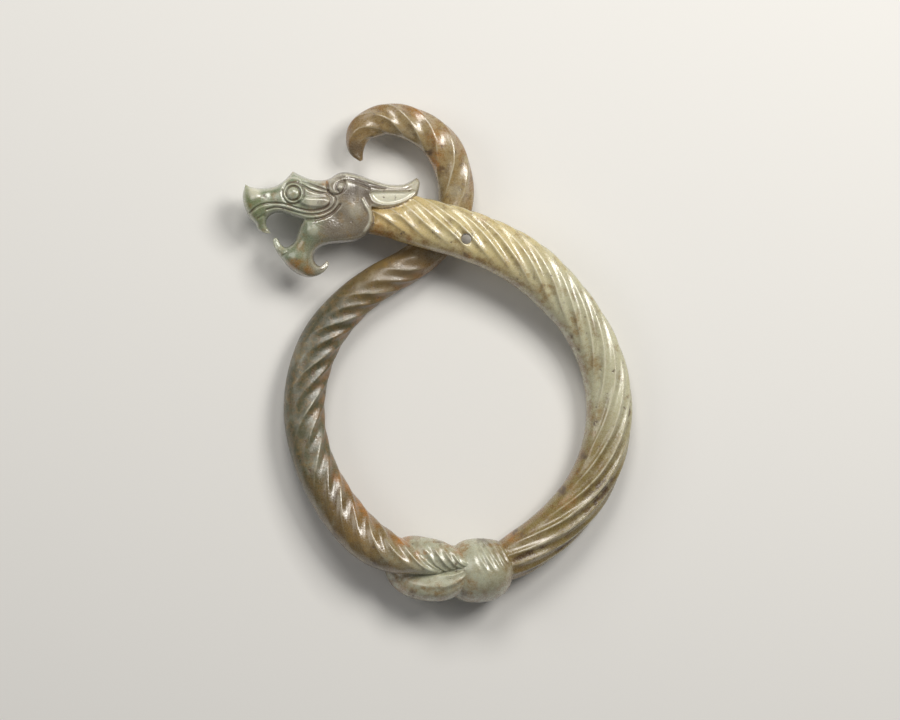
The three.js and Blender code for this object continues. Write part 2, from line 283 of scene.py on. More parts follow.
def makeRope(name, rope, finish, tree):
    rows = rope["rows"]
    ts = stations(rows, rope["step"])
    x, y, width, depth, rise, cut, lay = smoothRows(rows, ts).T
    width, depth = width * ropeRadius, depth * ropeRadius
    centres = np.column_stack([x * loopRadius, y * loopRadius, depth + rise * (slab - 2 * depth)])
    hops = np.linalg.norm(np.diff(centres, axis=0), axis=1)
    steps = np.tan(np.radians(lay[1:])) * hops / ((width[1:] + depth[1:]) / 2)
    turn = np.concatenate([[0], np.cumsum(steps)])
    travel = np.concatenate([[0], np.cumsum(hops)])
    begin, finishAt = rope["along"]
    counts = np.array(rope["flutes"], float)
    values = {
        "width": width,
        "depth": depth,
        "cut": np.clip(cut, 0, None),
        "turn": turn,
        "flutes": counts[np.searchsorted(counts[:, 0], ts, side="right") - 1, 1],
        "wearShift": np.interp(ts, *rope["wearShift"]),
        "along": begin + (finishAt - begin) * travel / travel[-1],
    }
    chain = bpy.data.meshes.new(name)
    count = len(centres)
    chain.from_pydata([tuple(c) for c in centres], [(i, i + 1) for i in range(count - 1)], [])
    for label, numbers in values.items():
        storeValues(chain, label, numbers)
    shown = newObject(name, chain)
    modifier = shown.modifiers.new("twist", "NODES")
    modifier.node_group = tree
    wanted = {
        "Columns": rope["columns"],
        "Flute Depth": rope["fluteDepth"],
        "Middle Depth": twist["middleDepth"],
        "Ridge Width": rope["ridgeWidth"],
        "Worn Depth": rope["wornDepth"],
        "Wear From": rope["wear"][0],
        "Wear To": rope["wear"][1],
        "Worn Side": rope["wornSide"],
        "Rim Wear": rope["rimWear"],
        "Unevenness": rope["unevenness"],
        "Seed": rope["seed"],
        "Finish": finish,
    }
    for socket in tree.interface.items_tree:
        if socket.name in wanted:
            modifier[socket.identifier] = wanted[socket.name]
    mesh = evaluatedMesh(shown)
    shown.modifiers.remove(modifier)
    shown.data = mesh
    faceOutwards(mesh)
    print(name, len(mesh.vertices), "points")
    return shown


def signedVolume(mesh):
    mesh.calc_loop_triangles()
    corners = np.zeros(len(mesh.loop_triangles) * 3, int)
    mesh.loop_triangles.foreach_get("vertices", corners)
    points = pointsOf(mesh)[corners.reshape(-1, 3)]
    return np.einsum("ij,ij->i", points[:, 0], np.cross(points[:, 1], points[:, 2])).sum() / 6


def faceOutwards(mesh):
    if signedVolume(mesh) < 0:
        mesh.flip_normals()
    mesh.update()


def pointsOf(mesh):
    flat = np.zeros(len(mesh.vertices) * 3)
    mesh.vertices.foreach_get("co", flat)
    return flat.reshape(-1, 3)


def valuesOf(mesh, label, missing=0.0):
    numbers = np.full(len(mesh.vertices), missing, np.float32)
    if label in mesh.attributes:
        mesh.attributes[label].data.foreach_get("value", numbers)
    return numbers


def storeValues(mesh, label, numbers):
    attribute = mesh.attributes.get(label) or mesh.attributes.new(label, "FLOAT", "POINT")
    attribute.data.foreach_set("value", np.asarray(numbers, np.float32))


# One row for each station of a rope: x, y (in loop radii), half width, half depth (in rope
# radii), rise (0 lies on the slab's back, 1 on its front), cut (how deep the flutes are)
# and lay (the flutes' angle to the rope, in degrees)

neckRope = {
    "step": 0.5,
    "columns": 108,
    "flutes": [(0, 12)],  # from which row on, and how many
    "wearShift": ([0], [0]),
    "fluteDepth": 0.46,
    "ridgeWidth": 0.02,
    "wornDepth": 0.03,
    "wear": (0.10, 0.68),
    "wornSide": 1,
    "rimWear": 0.0,
    "unevenness": 0.10,
    "seed": 3,
    "along": (0.14, 0.56),
    "rows": [
        [-0.649, 1.300, 0.74, 0.62, 0.62, 0, 20],
        [-0.570, 1.290, 0.86, 0.72, 0.68, 0.2, 20],
        [-0.464, 1.283, 0.95, 0.80, 0.78, 0.8, 25],
        [-0.344, 1.262, 1.05, 0.86, 0.90, 1, 26],
        [-0.185, 1.220, 1.08, stone["neckDepth"], 0.98, 1, 27],
        [0.000, 1.170, 1.08, stone["neckDepth"], 1.00, 1, 27],
        [0.194, 1.099, 1.08, 0.90, 0.96, 1, 27],
        [0.369, 1.013, 1.09, 0.92, 0.88, 1, 26],
        [0.523, 0.905, 1.08, 0.93, 0.74, 1, 24],
        [0.654, 0.779, 1.04, 0.93, 0.56, 1, 22],
        onLoop(38, 1.004, 0.99, 0.93, 0.38, 1, 20),
        onLoop(24, 1, 0.99, 0.93, 0.16, 1, 18),
        onLoop(10, 1, 1.00, 0.93, -0.02, 1, 17),
        onLoop(-4, 1, 1.00, 0.93, -0.05, 1, 16),
        onLoop(-18, 1, 1.00, 0.93, 0.02, 1, 15),
        onLoop(-32, 1, 1.00, 0.93, 0.12, 1, 14),
        onLoop(-46, 1, 1.00, 0.93, 0.24, 1, 14),
        onLoop(-58, 1.011, 0.99, 0.93, 0.34, 1, 14),
        onLoop(-67, 1.030, 0.97, 0.95, 0.42, 0.8, 14),
        [0.290, -1.012, 0.88, 0.92, 0.46, 0.3, 14],
        [0.190, -1.048, 0.74, 0.86, 0.50, 0, 14],
        [0.100, -1.060, 0.60, 0.80, 0.50, 0, 14],
    ],
}

tailRope = {
    "step": 0.5,
    "columns": 84,
    "flutes": [(0, 8), (15, 6)],  # the change is hidden behind the neck
    "wearShift": ([0, 16, 19, 29], [0, 0, 0.55, 0.55]),  # rows, and how far the wear moves there
    "fluteDepth": 0.52,
    "ridgeWidth": 0.03,
    "wornDepth": 0.10,
    "wear": (-0.50, 0.60),
    "wornSide": -1,
    "rimWear": 0.75,
    "unevenness": 0.12,
    "seed": 8,
    "along": (0.60, 1.0),
    "rows": [
        [-0.080, -1.050, 0.10, 0.30, 0.70, 0, 26],
        [-0.150, -1.050, 0.22, 0.45, 0.86, 0.4, 26],
        [-0.215, -1.032, 0.38, 0.56, 0.94, 0.9, 26],
        [-0.290, -1.004, 0.56, 0.68, 0.97, 1, 29],
        [-0.385, -0.970, 0.77, 0.78, 0.95, 1, 30],
        [-0.526, -0.908, 0.92, 0.86, 0.78, 1, 31],
        onLoop(-130, 1.040, 0.95, 0.88, 0.56, 1, 31),
        onLoop(-144, 1.020, 0.93, 0.88, 0.36, 0.95, 31),
        onLoop(-160, 1.015, 0.89, 0.87, 0.22, 0.85, 30),
        onLoop(-176, 1.020, 0.91, 0.86, 0.12, 0.8, 31),
        onLoop(168, 1.021, 0.92, 0.85, 0.04, 0.75, 32),
        onLoop(152, 1.019, 0.91, 0.84, -0.03, 0.75, 33),
        onLoop(136, 1.004, 0.85, 0.80, -0.05, 0.75, 33),
        onLoop(122, 0.999, 0.81, 0.76, 0.00, 0.75, 32),
        [-0.347, 0.948, 0.78, 0.72, 0.00, 0.7, 30],
        [-0.219, 1.040, 0.78, stone["underDepth"], 0.00, 0, 22],
        [-0.106, 1.159, 0.78, stone["underDepth"], 0.00, 0.5, 20],
        [-0.040, 1.265, 0.78, 0.72, 0.03, 0.9, 20],
        [-0.015, 1.385, 0.79, 0.74, 0.08, 0.9, 21],
        [-0.018, 1.510, 0.80, 0.76, 0.14, 0.9, 23],
        [-0.050, 1.640, 0.82, 0.76, 0.20, 0.9, 26],
        [-0.113, 1.755, 0.82, 0.76, 0.26, 0.9, 29],
        [-0.202, 1.838, 0.77, 0.74, 0.30, 0.9, 32],
        [-0.313, 1.896, 0.75, 0.71, 0.34, 0.85, 34],
        [-0.445, 1.927, 0.71, 0.68, 0.37, 0.8, 34],
        [-0.562, 1.903, 0.66, 0.62, 0.39, 0.7, 32],
        [-0.640, 1.855, 0.60, 0.54, 0.40, 0.5, 28],
        [-0.674, 1.780, 0.47, 0.42, 0.41, 0.3, 22],
        [-0.670, 1.712, 0.33, 0.27, 0.42, 0, 20],
        [-0.640, 1.652, 0.07, 0.06, 0.43, 0, 20],
    ],
}

# The knot's lobe: out of the knot at the top, round behind the strand at its left, and back in
turnRope = {
    "step": 0.3,
    "columns": 90,
    "flutes": [(0, 9)],
    "wearShift": ([0], [0]),
    "fluteDepth": 0.26,
    "ridgeWidth": 0.05,
    "wornDepth": 0.1,
    "wear": (0.25, 0.75),
    "wornSide": 1,
    "rimWear": 0.50,
    "unevenness": 0.12,
    "seed": 5,
    "along": (0.60, 0.56),
    "rows": [
        [0.075, -1.012, 0.16, 0.30, 0.90, 0, 45],
        [0.030, -1.006, 0.32, 0.50, 0.95, 0.6, 40],
        [-0.040, -0.985, 0.56, 0.64, 0.95, 0.9, 44],
        [-0.130, -0.968, 0.72, 0.74, 0.92, 1.0, 46],
        [-0.220, -0.947, 0.72, 0.74, 0.80, 0.9, 46],
        [-0.305, -0.935, 0.69, 0.72, 0.44, 0.6, 30],
        [-0.372, -0.966, 0.68, 0.72, 0.14, 0.3, 10],
        [-0.392, -1.030, 0.67, 0.72, 0.06, 0.1, 4],
        [-0.364, -1.097, 0.67, 0.72, 0.16, 0.1, 4],
        [-0.291, -1.146, 0.68, 0.76, 0.42, 0.1, 4],
        [-0.190, -1.160, 0.70, 0.80, 0.70, 0.4, 4],
        [-0.090, -1.150, 0.72, 0.80, 0.82, 0.8, 6],
        [-0.010, -1.112, 0.62, 0.72, 0.90, 0.9, 8],
        [0.040, -1.070, 0.42, 0.55, 0.93, 1.0, 10],
        [0.070, -1.038, 0.20, 0.32, 0.92, 0.5, 10],
    ],
}

# The knot's wrap: a short fat rope whose flutes run nearly round it, worn away below
wrapRope = {
    "step": 0.14,
    "columns": 110,
    "flutes": [(0, 13)],
    "wearShift": ([0], [0]),
    "fluteDepth": 0.24,
    "ridgeWidth": 0.05,
    "wornDepth": 0.0,
    "wear": (-0.30, 0.20),
    "wornSide": 1,
    "rimWear": 1.0,
    "unevenness": 0.06,
    "seed": 6,
    "along": (0.58, 0.54),
    "rows": [
        [-0.100, -1.060, 0.40, 0.40, 0.42, 0.0, 65],
        [-0.055, -1.058, 0.90, 0.75, 0.46, 0.0, 65],
        [-0.010, -1.060, 1.19, 1.00, 0.48, 0.0, 65],
        [0.040, -1.062, 1.36, 1.20, 0.50, 0.0, 65],
        [0.100, -1.063, 1.42, 1.40, 0.50, 0.0, 65],
        [0.178, -1.058, 1.41, 1.47, 0.50, 0.9, 65],
        [0.258, -1.050, 1.28, 1.42, 0.50, 1.0, 65],
        [0.318, -1.047, 1.04, 1.22, 0.50, 0.9, 65],
        [0.352, -1.048, 0.78, 0.92, 0.50, 0.7, 65],
        [0.374, -1.050, 0.32, 0.40, 0.50, 0.0, 65],
    ],
}

# Stone left whole between the knot's strands
knotCores = {
    "columns": 48,
    "rows": 32,
    "along": 0.58,
    "places": [  # x, y, radius and height (a share of the slab)
        [-0.040, -1.040, 0.98, 0.50],
        [-0.160, -1.044, 1.00, 0.48],
        [-0.300, -1.040, 0.84, 0.45],
    ],
}


def makeCore(name, place, finish):
    x, y, radius, height = place
    columns, rows = knotCores["columns"], knotCores["rows"]
    centre = (x * loopRadius, y * loopRadius, height * slab)
    mesh = bpy.data.meshes.new(name)
    shape = bmesh.new()
    bmesh.ops.create_uvsphere(shape, u_segments=columns, v_segments=rows, radius=radius * ropeRadius)
    bmesh.ops.translate(shape, verts=shape.verts, vec=centre)
    shape.to_mesh(mesh)
    shape.free()
    mesh.materials.append(finish)
    storeValues(mesh, "along", np.full(len(mesh.vertices), knotCores["along"]))
    return newObject(name, mesh)


# The head: a plate cut to the outline below, pillowed, with its features carved in both faces.
# Points are millimetres from the back of the jowl, for a head as long as this one
head = {
    "at": (-0.566, 1.298),  # in loop radii
    "drawnLength": 20.5,
    "middle": 0.56,  # height of the middle plane, a share of the slab
    "grain": 0.13,  # distance between two points of the surface
    "fullness": (1.30, 2.40),  # depth of a limb against its width, on the snout and on the ear
    "halfDepth": (3.72, 4.20),  # on the snout and on the ear
    "earFrom": (-3.0, 0.5),  # the ear's own numbers come in between these two
    "roundness": 3.0,  # how sharply the pillow flattens out
    "cell": 0.15,  # of the grid that the pillow is blown up on
    "rounds": 500,
    "overshoot": 1.93,
    "rings": (0.015, 0.05),  # extra rows, so far inside the edge
    "edge": 0.2,  # the width of the rounded edge
    "edgeLift": 0.15,
    "edgeFullness": 1.1,
    "reliefEdge": 0.35,  # the carving fades out over this width
    "least": 0.02,
}

headOutline = {
    "snoutTop": [(-20.05, 4.66), (-19.15, 4.23), (-17.46, 4.03), (-15.52, 4.30), (-13.98, 5.21),
                 (-12.56, 6.71)],
    "crown": [(-12.56, 6.71), (-11.30, 6.05), (-9.56, 5.40), (-7.66, 5.32), (-6.48, 5.69)],
    "earTop": [(-6.48, 5.69), (-5.61, 6.29), (-4.31, 6.57), (-2.29, 6.18), (0.17, 5.32),
               (2.45, 4.69), (4.76, 4.66), (5.97, 5.15), (7.00, 5.69)],
    "earEnd": [(7.00, 5.69), (7.41, 5.13), (7.43, 4.23), (7.11, 2.91), (6.81, 2.54)],
    "earUnder": [(6.81, 2.54), (5.61, 1.45), (3.79, 0.75), (1.98, 0.50), (0.75, 0.60), (0.05, 0.80)],
    "jowl": [(0.05, 0.80), (0.38, 0.00), (0.45, -1.11), (0.05, -2.37), (-1.24, -3.60),
             (-2.77, -4.31), (-4.66, -4.58)],
    "throat": [(-4.66, -4.58), (-5.85, -4.65), (-7.30, -4.90), (-8.45, -5.40), (-9.15, -6.24),
               (-9.21, -7.27), (-8.75, -8.03), (-8.15, -8.22), (-7.66, -7.85), (-7.19, -7.36)],
    "chin": [(-7.19, -7.36), (-6.87, -7.85), (-7.00, -8.34), (-7.98, -9.42), (-9.72, -10.03),
             (-11.46, -9.67), (-13.10, -8.58), (-14.54, -6.87), (-15.48, -5.29), (-15.72, -4.19),
             (-15.47, -3.82)],
    "lowerTooth": [(-15.47, -3.82), (-15.15, -3.78), (-14.84, -4.14), (-14.44, -4.83),
                   (-13.82, -5.25), (-13.10, -5.07), (-12.26, -4.34), (-11.83, -3.16),
                   (-11.30, -1.69), (-10.93, -1.03)],
    "palate": [(-10.93, -1.03), (-12.13, -0.66), (-13.35, -0.17), (-14.31, 0.13), (-15.28, 0.09),
               (-16.13, -0.30), (-16.67, -0.95), (-16.73, -1.80), (-16.42, -2.50), (-16.04, -3.10)],
    "fang": [(-16.04, -3.10), (-16.75, -3.13), (-17.33, -2.95), (-18.06, -2.42), (-18.36, -1.69)],
    "beak": [(-18.36, -1.69), (-19.04, -1.04), (-19.75, 0.00), (-20.30, 1.45), (-20.48, 2.91),
             (-20.05, 4.66)],
}

# Carved lines: points, half width (mm) and height (mm, negative for a groove)
headLines = {
    "lipOver": ([(-19.28, 0.13), (-18.42, 0.85), (-17.33, 1.39), (-15.77, 1.64), (-14.08, 1.52),
                 (-12.62, 1.09), (-11.30, 0.66), (-9.48, 0.40), (-7.66, 0.76), (-6.72, 1.50),
                 (-6.42, 2.40), (-7.06, 2.91)], 0.16, -0.30),
    "lipUnder": ([(-16.60, 0.60), (-15.40, 0.95), (-14.08, 0.85), (-12.70, 0.45), (-11.30, 0.03),
                  (-9.48, -0.20), (-7.60, 0.10), (-6.20, 0.95), (-5.70, 2.10), (-6.30, 3.00)],
                 0.16, -0.30),
    "mouthFold": ([(-10.70, -0.95), (-8.90, -0.98), (-7.40, -0.60), (-6.10, 0.16), (-5.10, 1.30)],
                  0.22, -0.36),
    "earRidge": ([(-4.20, 6.12), (-2.35, 5.74), (0.08, 4.92), (2.42, 4.27), (4.85, 4.24),
                  (6.00, 4.72), (6.80, 5.20)], 0.24, 0.30),
    "maneBand": ([(-3.50, 5.55), (-2.10, 5.15), (0.00, 4.38), (2.00, 3.98)], 0.30, -0.14),
    "fangRoot": ([(-18.10, -0.80), (-17.03, -0.24), (-16.75, -0.90)], 0.14, -0.16),
    "toothRoot": ([(-14.20, -6.60), (-13.40, -6.20), (-13.30, -5.50), (-13.80, -5.20)], 0.14, -0.16),
    "lidOver": ([(-11.60, 5.10), (-10.35, 4.90), (-8.14, 3.95), (-6.90, 3.45)], 0.16, -0.30),
    "lidUnder": ([(-11.00, 4.50), (-9.95, 3.80), (-8.77, 3.32), (-6.72, 3.08)], 0.16, -0.30),
    "browRing": ([(-14.20, 3.90), (-13.80, 4.90), (-12.90, 5.55), (-11.90, 5.50), (-11.20, 5.00)],
                 0.18, 0.22),
    "jowlRidge": ([(-1.53, 2.18), (-1.04, 1.22), (-0.45, 0.25), (-0.25, -0.70), (-0.45, -1.80),
                   (-1.20, -2.90)], 0.24, 0.26),
    "maneEdge": ([(-4.79, 5.09), (-3.46, 5.15), (-1.77, 4.53), (-0.55, 4.00)], 0.20, -0.30),
    "curlEdge": ([(-4.40, 5.00), (-4.25, 4.30), (-4.55, 3.45), (-5.28, 2.95), (-6.35, 3.00),
                  (-6.95, 3.75), (-7.08, 5.00)], 0.20, -0.46),
    "curlInner": ([(-4.60, 4.86), (-5.21, 4.93), (-5.62, 4.50), (-5.68, 3.87), (-5.30, 3.36)],
                  0.15, -0.34),
}

# Round swellings: x, y, radius and height (mm)
headBosses = {
    "eyeball": (-12.41, 3.18, 1.04, 0.58),
    "curl": (-5.53, 4.03, 1.45, 0.40),
    "curlEnd": (-4.98, 4.12, 0.52, 0.24),
}
eyeRing = {
    "at": (-12.41, 3.18),
    "bands": [(1.40, 0.15, 0.28), (1.12, 0.15, -0.22), (1.70, 0.21, -0.22)],  # radius, half width, height
}

# Soft swellings and hollows: x, y, radius and height (mm)
headSwells = {
    "jawRoot": (-9.7, -2.7, 1.3, 0.45),
    "jowlMiddle": (-2.6, 0.3, 1.7, 0.40),
    "behindCheek": (-5.4, -0.6, 1.3, -0.35),
    "snoutTop": (-18.3, 2.9, 1.3, 0.30),
    "snoutSide": (-16.0, 2.6, 1.2, -0.25),
    "chin": (-11.6, -7.6, 1.8, 0.30),
}

roughPatch = {"at": (-6.6, -2.0), "size": (4.2, 2.2), "grain": 0.21, "height": 0.05}

# Flat areas let in or raised: outline, height and how wide their edge is (mm)
headPlanes = {
    "earDish": ([(-0.44, 3.03), (0.17, 3.51), (2.59, 3.63), (5.01, 3.63), (6.81, 3.76),
                 (6.65, 2.90), (5.20, 1.95), (3.30, 1.35), (1.50, 1.35), (0.17, 1.95)], -0.60, 0.50),
    "cheek": ([(-11.20, 2.90), (-9.20, 2.70), (-7.20, 2.60), (-6.30, 2.00), (-6.60, 1.20),
               (-8.00, 0.70), (-10.00, 0.80), (-11.20, 1.30), (-11.90, 2.10)], 0.42, 0.60),
}


def throughPoints(points, spacing=0.3):
    rows = np.array(points, float)
    ts = []
    for i in range(len(rows) - 1):
        count = max(1, round(np.linalg.norm(rows[i + 1] - rows[i]) / spacing))
        ts += [i + k / count for k in range(count)]
    return smoothRows(rows, np.array(ts + [len(rows) - 1.0]))


def closedLine(corners):
    return throughPoints(corners + corners[:1])[:-1]


def headLoop(spacing=0.3):
    return np.concatenate([throughPoints(part, spacing)[:-1] for part in headOutline.values()])


def distanceTo(line, points, closed=False):
    # Distance from each point to a polyline, in the plane
    ends = np.roll(line, -1, axis=0) if closed else line[1:]
    starts = line if closed else line[:-1]
    nearest = np.full(len(points), np.inf)
    for a, b in zip(starts, ends):
        run = b - a
        share = np.clip(((points - a) @ run) / max(run @ run, 1e-12), 0, 1)
        gap = points - a - share[:, None] * run
        nearest = np.minimum(nearest, np.einsum("ij,ij->i", gap, gap))
    return np.sqrt(nearest)


def insideOf(loop, points):
    inside = np.zeros(len(points), bool)
    x, y = points[:, 0], points[:, 1]
    for a, b in zip(loop, np.roll(loop, -1, axis=0)):
        crosses = (a[1] > y) != (b[1] > y)
        with np.errstate(divide="ignore", invalid="ignore"):
            at = (b[0] - a[0]) * (y - a[1]) / (b[1] - a[1]) + a[0]
        inside ^= crosses & (x < at)
    return inside


def smoothEdge(values, width):
    t = np.clip(values / width, 0, 1)
    return t * t * (3 - 2 * t)


def pillowField(loop):
    # A membrane blown up over the outline: its height is round across every limb
    cell = head["cell"]
    low = loop.min(axis=0) - 2 * cell
    size = np.ceil((loop.max(axis=0) + 2 * cell - low) / cell).astype(int) + 1
    gx, gy = np.meshgrid(low[0] + cell * np.arange(size[0]), low[1] + cell * np.arange(size[1]))
    inside = insideOf(loop, np.column_stack([gx.ravel(), gy.ravel()])).reshape(gx.shape)
    swell = np.zeros(gx.shape)
    checker = (np.add.outer(np.arange(size[1]), np.arange(size[0])) % 2).astype(bool)
    for _ in range(head["rounds"]):
        for colour in (checker, ~checker):
            around = (np.roll(swell, 1, 0) + np.roll(swell, -1, 0) + np.roll(swell, 1, 1)
                      + np.roll(swell, -1, 1))
            change = (around + cell * cell) / 4 - swell
            where = inside & colour
            swell[where] += head["overshoot"] * change[where]
    swell[~inside] = 0

    def at(points):
        u = (points[:, 0] - low[0]) / cell
        v = (points[:, 1] - low[1]) / cell
        i = np.clip(u.astype(int), 0, size[0] - 2)
        j = np.clip(v.astype(int), 0, size[1] - 2)
        fu, fv = u - i, v - j
        lower = swell[j, i] * (1 - fu) + swell[j, i + 1] * fu
        upper = swell[j + 1, i] * (1 - fu) + swell[j + 1, i + 1] * fu
        return lower * (1 - fv) + upper * fv

    return at


def headRelief(points):
    relief = np.zeros(len(points))
    for line, halfWidth, height in headLines.values():
        gap = distanceTo(throughPoints(line), points)
        relief += height * np.exp(-((gap / halfWidth) ** 2))
    for x, y, radius, height in headBosses.values():
        gap = np.hypot(points[:, 0] - x, points[:, 1] - y) / radius
        relief += height * np.sqrt(np.clip(1 - gap * gap, 0, 1))
    for x, y, radius, height in headSwells.values():
        gap = np.hypot(points[:, 0] - x, points[:, 1] - y) / radius
        relief += height * np.exp(-gap * gap)
    x, y = eyeRing["at"]
    gap = np.hypot(points[:, 0] - x, points[:, 1] - y)
    for radius, halfWidth, height in eyeRing["bands"]:
        relief += height * np.exp(-(((gap - radius) / halfWidth) ** 2))
    for corners, height, edge in headPlanes.values():
        loop = closedLine(corners)
        inside = insideOf(loop, points)
        depth = np.where(inside, distanceTo(loop, points, closed=True), 0)
        relief += height * smoothEdge(depth, edge)
    # Rough, speckled stone left behind the mouth's corner
    away = np.hypot((points[:, 0] - roughPatch["at"][0]) / roughPatch["size"][0],
                    (points[:, 1] - roughPatch["at"][1]) / roughPatch["size"][1])
    for i in np.nonzero(away < 1)[0]:
        bumpy = noise.noise(Vector((points[i, 0], points[i, 1], 0)) / roughPatch["grain"])
        relief[i] += roughPatch["height"] * bumpy * (1 - away[i] ** 2)
    return relief


headTint = {
    "along": 0.13,  # where the head ends in the stone's colours
    "dish": (0.05, 0.25),  # mm, where the painted highlight in the ear's dish begins and how soft its edge is
    # a painted highlight is laid along these ridges
    "ridges": ("earRidge", "jowlRidge", "browRing"),
    "ridgeHighlight": 0.42,
    "bandWidth": 0.4,
    "bandDusk": 0.8,
}


def makeHead(name, finish):
    grain = head["grain"]
    loop = headLoop(grain)
    pillow = pillowField(loop)
    low, high = loop.min(axis=0), loop.max(axis=0)
    rowGap = grain * math.sqrt(3) / 2
    rowCount = int((high[1] - low[1]) / rowGap) + 1
    columnCount = int((high[0] - low[0]) / grain) + 1
    gridX, gridY = np.meshgrid(np.arange(columnCount) * grain, np.arange(rowCount) * rowGap)
    gridX = gridX + (np.arange(rowCount) % 2)[:, None] * grain / 2
    grid = np.column_stack([gridX.ravel() + low[0], gridY.ravel() + low[1]])
    grid = grid[insideOf(loop, grid)]
    grid = grid[distanceTo(loop, grid, closed=True) > 0.75 * grain]

    # Rows close to the edge, where the surface turns down steeply
    ahead = np.roll(loop, -1, axis=0) - np.roll(loop, 1, axis=0)
    inward = np.column_stack([ahead[:, 1], -ahead[:, 0]])
    inward /= np.linalg.norm(inward, axis=1)[:, None]
    if insideOf(loop, loop + head["rings"][0] * inward).mean() < 0.5:
        inward = -inward
    rings = []
    for offset in head["rings"]:
        ring = loop + offset * inward
        kept = insideOf(loop, ring) & (distanceTo(loop, ring, closed=True) > 0.8 * offset)
        rings.append(ring[kept])
    flat = np.concatenate([loop, *rings, grid])
    count = len(loop)
    edges = [(i, (i + 1) % count) for i in range(count)]
    made = delaunay_2d_cdt([Vector(p) for p in flat], edges, [], 1, 1e-5)
    flat = np.array([tuple(v) for v in made[0]])
    faces = np.array(made[2])
    gap = distanceTo(loop, flat, closed=True)
    rim = gap < 1e-4

    first, last = head["earFrom"]
    ear = smoothEdge(flat[:, 0] - first, last - first)
    fullness = head["fullness"][0] + ear * (head["fullness"][1] - head["fullness"][0])
    most = head["halfDepth"][0] + ear * (head["halfDepth"][1] - head["halfDepth"][0])
    blown = np.sqrt(2 * np.clip(pillow(flat), 0, None)) * fullness
    rounded = np.sqrt(2 * np.clip(gap, 0, None)) * head["edgeFullness"] * fullness
    blown = np.where(gap < head["edge"], np.minimum(blown + head["edgeLift"], rounded), blown)
    sharp = head["roundness"]
    height = blown / (1 + (blown / most) ** sharp) ** (1 / sharp)
    relief = headRelief(flat) * smoothEdge(gap, head["reliefEdge"])
    height = np.where(rim, 0, np.maximum(height + relief, head["least"]))

    scale = stone["headLength"] / head["drawnLength"]
    x = head["at"][0] * loopRadius + scale * flat[:, 0]
    y = head["at"][1] * loopRadius + scale * flat[:, 1]
    middle = head["middle"] * slab
    frontPoints = np.column_stack([x, y, middle + height])
    backPoints = np.column_stack([x, y, middle - height])
    backIndex = np.where(rim, np.arange(len(flat)), 0)
    backIndex[~rim] = len(flat) + np.arange((~rim).sum())
    points = np.concatenate([frontPoints, backPoints[~rim]])
    triangles = np.concatenate([faces, backIndex[faces][:, ::-1]])
    mesh = plainMesh(name, points, triangles.tolist())
    mesh.materials.append(finish)
    faceOutwards(mesh)
    print(name, len(points), "points")
    share = (points[:, 0] / loopRadius - head["at"][0]) * loopRadius / stone["headLength"]
    storeValues(mesh, "along", headTint["along"] * np.clip(1 + share, 0, 1))
    storeValues(mesh, "relief", np.ones(len(points)))
    # Painted highlight: paler colour in the ear's dish and along the head's ridges
    dish = closedLine(headPlanes["earDish"][0])
    within = np.where(insideOf(dish, flat), distanceTo(dish, flat, closed=True), 0)
    inset, edge = headTint["dish"]
    paintedHighlight = smoothEdge(within - inset, edge)
    for line in headTint["ridges"]:
        points, halfWidth, _ = headLines[line]
        gap = distanceTo(throughPoints(points), flat) / halfWidth
        paintedHighlight = np.maximum(paintedHighlight, headTint["ridgeHighlight"] * np.exp(-gap * gap))
    band = distanceTo(throughPoints(headLines["maneBand"][0]), flat) / headTint["bandWidth"]
    brown = headTint["bandDusk"] * np.exp(-band * band)
    storeValues(mesh, "paintedHighlight", np.concatenate([paintedHighlight, paintedHighlight[~rim]]))
    storeValues(mesh, "dusk", np.concatenate([brown, brown[~rim]]))
    return newObject(name, mesh)


# The neck is cut back round the ear and the jowl, so that they stand out from it
cutBack = {
    "under": 2.5,  # mm from the head's middle plane, inside its outline
    "beyond": 4.7,  # and outside it
    "early": 0.15,  # mm sideways, where the change begins
    "reach": 0.9,  # and how wide it is
    "limit": 10.5,  # mm from the back of the jowl
}


def cutBackNeck(mesh):
    loop = headLoop()
    points = pointsOf(mesh)
    scale = stone["headLength"] / head["drawnLength"]
    place = (points[:, :2] - np.array(head["at"]) * loopRadius) / scale
    near = place[:, 0] < cutBack["limit"]
    gap = distanceTo(loop, place[near], closed=True)
    outside = np.where(insideOf(loop, place[near]), -gap, gap)
    rise = smoothEdge(outside + cutBack["early"], cutBack["reach"])
    allowed = cutBack["under"] + (cutBack["beyond"] - cutBack["under"]) * rise
    middle = head["middle"] * slab
    away = points[near, 2] - middle
    points[near, 2] = middle + np.clip(away, -allowed, allowed)
    mesh.vertices.foreach_set("co", points.ravel())
    mesh.update()


# One solid: the pieces are joined, the cord hole is drilled and the back is ground flat

drill = {
    "at": (0.055, 1.129),  # in loop radii
    "radius": 0.75,  # mm, in the middle
    "flare": 0.16,  # mm wider at the mouths, because it was drilled from both sides
    "flareCurve": 1.5,
    "reach": 0.62,  # half its length, a share of the slab
    "sides": 48,
    "steps": 24,
}


def makeDrill(name):
    sides, steps = drill["sides"], drill["steps"]
    x, y = drill["at"]
    points = []
    for k in range(steps + 1):
        t = 2 * k / steps - 1
        radius = drill["radius"] + drill["flare"] * abs(t) ** drill["flareCurve"]
        for j in range(sides):
            a = math.tau * j / sides
            points.append((
                x * loopRadius + radius * math.cos(a),
                y * loopRadius + radius * math.sin(a),
                slab / 2 + t * slab * drill["reach"],
            ))
    faces = [tuple(range(sides))[::-1], tuple(range(steps * sides, (steps + 1) * sides))]
    for k in range(steps):
        for j in range(sides):
            a, b = k * sides + j, k * sides + (j + 1) % sides
            faces.append((a, b, b + sides, a + sides))
    mesh = plainMesh(name, points, faces)
    faceOutwards(mesh)
    return newObject(name, mesh)


def carve(base, operation, others):
    for other in others:
        modifier = base.modifiers.new(operation.lower(), "BOOLEAN")
        modifier.operation = operation
        modifier.solver = "MANIFOLD"
        modifier.object = other
    mesh = evaluatedMesh(base)
    base.modifiers.clear()
    base.data = mesh


